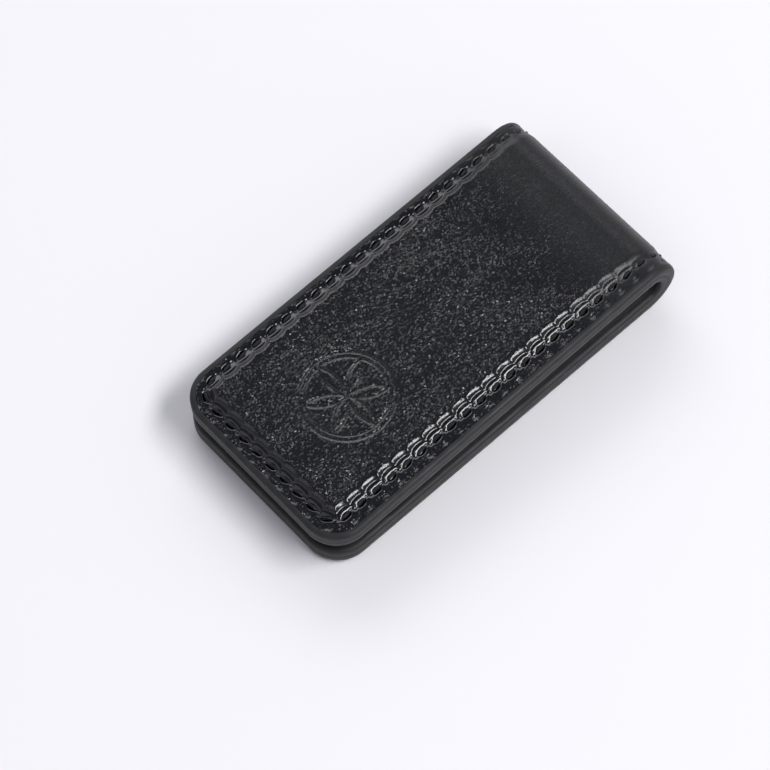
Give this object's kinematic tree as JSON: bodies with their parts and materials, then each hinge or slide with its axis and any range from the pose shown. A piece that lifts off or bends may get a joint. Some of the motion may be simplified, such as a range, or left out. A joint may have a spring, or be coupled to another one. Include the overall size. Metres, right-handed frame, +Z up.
{
  "type": "money clip",
  "caption": "Black leather money clip: a padded strap folded into a U over a sprung steel core, sewn all round, that grips folded notes.",
  "frame": {"origin": "centre of the footprint, on the surface that the back leg rests on", "axes": "+X along the clip towards the bend, +Y across the strap, +Z up through the back leg and the front leg"},
  "size_m": [0.0699, 0.035, 0.0115],
  "materials": {
    "cover_leather": "semi-gloss, smooth grain",
    "lining_leather": "matt, fine grain",
    "edge_paint": "satin edge paint",
    "thread": "waxed polyester thread",
    "spring_steel": "rolled strip",
    "filler_felt": "pressed felt"
  },
  "bodies": {
    "back_leg": {"back_cover": "cover_leather", "back_filler": "filler_felt", "back_spring_arm": "spring_steel", "back_lining": "lining_leather", "back_needle_stitches": "thread", "back_bobbin_stitches": "thread", "back_edge_paint": "edge_paint"},
    "front_leg": {"front_cover": "cover_leather", "front_filler": "filler_felt", "front_spring_arm": "spring_steel", "front_lining": "lining_leather", "front_needle_stitches": "thread", "front_bobbin_stitches": "thread", "front_edge_paint": "edge_paint"}
  },
  "joints": [
    {"name": "clip_opening", "type": "hinge", "parent": "back_leg", "child": "front_leg", "pos_m": [0.03488, 0, 0.00583], "axis": [0, 1, 0], "range_deg": [-1.5, 12], "stiffness_Nm_per_rad": 0.5, "springref_deg": -1.49}
  ]
}
